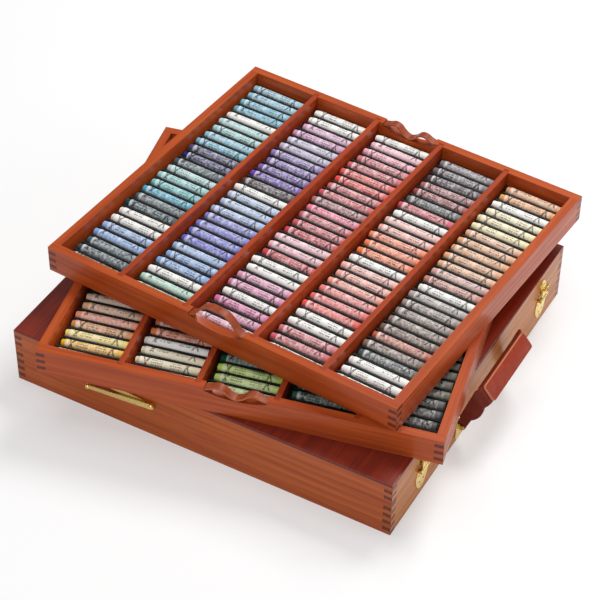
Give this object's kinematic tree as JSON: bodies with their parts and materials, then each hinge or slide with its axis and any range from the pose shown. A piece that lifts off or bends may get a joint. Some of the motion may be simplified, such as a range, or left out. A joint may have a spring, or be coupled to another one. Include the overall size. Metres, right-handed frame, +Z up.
{
  "type": "pastel stick case",
  "caption": "Hinged wooden carrying case for soft pastels, shown closed with its two filled lift-out trays stacked crosswise on the lid.",
  "frame": {"origin": "centre of the case's underside, where it stands on a table", "axes": "+Z up; -Y is the front, with the handle and the latches; +X is to the right seen from the front; the lid's hinge line runs along X at the rear"},
  "size_m": [0.4568, 0.4657, 0.1408],
  "materials": {
    "case_wood": "satin lacquered red-brown hardwood",
    "panel_wood": "glossy red-brown veneered panel",
    "tray_wood": "satin lacquered orange-brown hardwood",
    "divider_wood": "satin red-brown hardwood",
    "brass": "polished brass plate",
    "leather": "smooth reddish-brown leather with raw edges",
    "foam": "matt black ribbed foam",
    "pastel": "soft pastel sticks in matt paper wrappers, many colours"
  },
  "bodies": {
    "case_base": {"base_front_board": "case_wood", "base_rear_board": "case_wood", "base_left_board": "case_wood", "base_right_board": "case_wood", "base_bottom_panel": "panel_wood", "hinge_left_base_leaf": "brass", "hinge_right_base_leaf": "brass", "hinge_pins": "brass", "latch_left_plate": "brass", "latch_right_plate": "brass", "latch_pins": "brass", "handle_left_keeper": "brass", "handle_right_keeper": "brass", "handle_pins": "brass", "stay_base_screw": "brass"},
    "lid": {"lid_front_board": "case_wood", "lid_rear_board": "case_wood", "lid_left_board": "case_wood", "lid_right_board": "case_wood", "lid_top_panel": "panel_wood", "hinge_left_lid_leaf": "brass", "hinge_right_lid_leaf": "brass", "latch_left_catch": "brass", "latch_right_catch": "brass", "stay_lid_screw": "brass"},
    "left_latch": {"latch_left_lever": "brass"},
    "right_latch": {"latch_right_lever": "brass"},
    "handle": {"handle_strap": "leather", "handle_grip": "leather"},
    "stay_lower": {"stay_lower_bar": "brass", "stay_rivet": "brass"},
    "stay_upper": {"stay_upper_bar": "brass"},
    "mid_tray": {"mid_tray_front_board": "tray_wood", "mid_tray_rear_board": "tray_wood", "mid_tray_left_board": "tray_wood", "mid_tray_right_board": "tray_wood", "mid_tray_left_strap": "leather", "mid_tray_right_strap": "leather", "mid_tray_bottom_panel": "tray_wood", "mid_tray_dividers": "divider_wood", "mid_tray_foam_cradles": "foam", "mid_tray_sticks_bay_1": "pastel", "mid_tray_sticks_bay_2": "pastel", "mid_tray_sticks_bay_3": "pastel", "mid_tray_sticks_bay_4": "pastel", "mid_tray_sticks_bay_5": "pastel"},
    "top_tray": {"top_tray_front_board": "tray_wood", "top_tray_rear_board": "tray_wood", "top_tray_left_board": "tray_wood", "top_tray_right_board": "tray_wood", "top_tray_left_strap": "leather", "top_tray_right_strap": "leather", "top_tray_bottom_panel": "tray_wood", "top_tray_dividers": "divider_wood", "top_tray_foam_cradles": "foam", "top_tray_sticks_bay_1": "pastel", "top_tray_sticks_bay_2": "pastel", "top_tray_sticks_bay_3": "pastel", "top_tray_sticks_bay_4": "pastel", "top_tray_sticks_bay_5": "pastel"}
  },
  "joints": [
    {"name": "lid_hinge", "type": "hinge", "parent": "case_base", "child": "lid", "pos_m": [0, 0.20845, 0.0415], "axis": [-1, 0, 0], "range_deg": [0, 95]},
    {"name": "left_latch_swing", "type": "hinge", "parent": "case_base", "child": "left_latch", "pos_m": [-0.1295, -0.2092, 0.0366], "axis": [1, 0, 0], "range_deg": [0, 150]},
    {"name": "right_latch_swing", "type": "hinge", "parent": "case_base", "child": "right_latch", "pos_m": [0.1385, -0.2092, 0.0366], "axis": [1, 0, 0], "range_deg": [0, 150]},
    {"name": "handle_swing", "type": "hinge", "parent": "case_base", "child": "handle", "pos_m": [0, -0.2108, 0.0195], "axis": [1, 0, 0], "range_deg": [0, 78]},
    {"name": "stay_lower_swing", "type": "hinge", "parent": "case_base", "child": "stay_lower", "pos_m": [-0.1932, 0.12, 0.0335], "axis": [-1, 0, 0], "range_deg": [0, 95]},
    {"name": "stay_upper_swing", "type": "hinge", "parent": "lid", "child": "stay_upper", "pos_m": [-0.19125, 0.1365, 0.0475], "axis": [1, 0, 0], "range_deg": [0, 98]},
    {"name": "mid_tray_lift", "type": "slide", "parent": "lid", "child": "mid_tray", "axis": [0, 0, 1], "range_m": [0, 0.06]},
    {"name": "top_tray_lift", "type": "slide", "parent": "mid_tray", "child": "top_tray", "axis": [0, 0, 1], "range_m": [0, 0.06]}
  ],
  "couplings": [
    {"joint": "stay_lower_swing", "follows": "lid_hinge", "ratio": 0.989},
    {"joint": "stay_upper_swing", "follows": "lid_hinge", "ratio": 1.016}
  ]
}
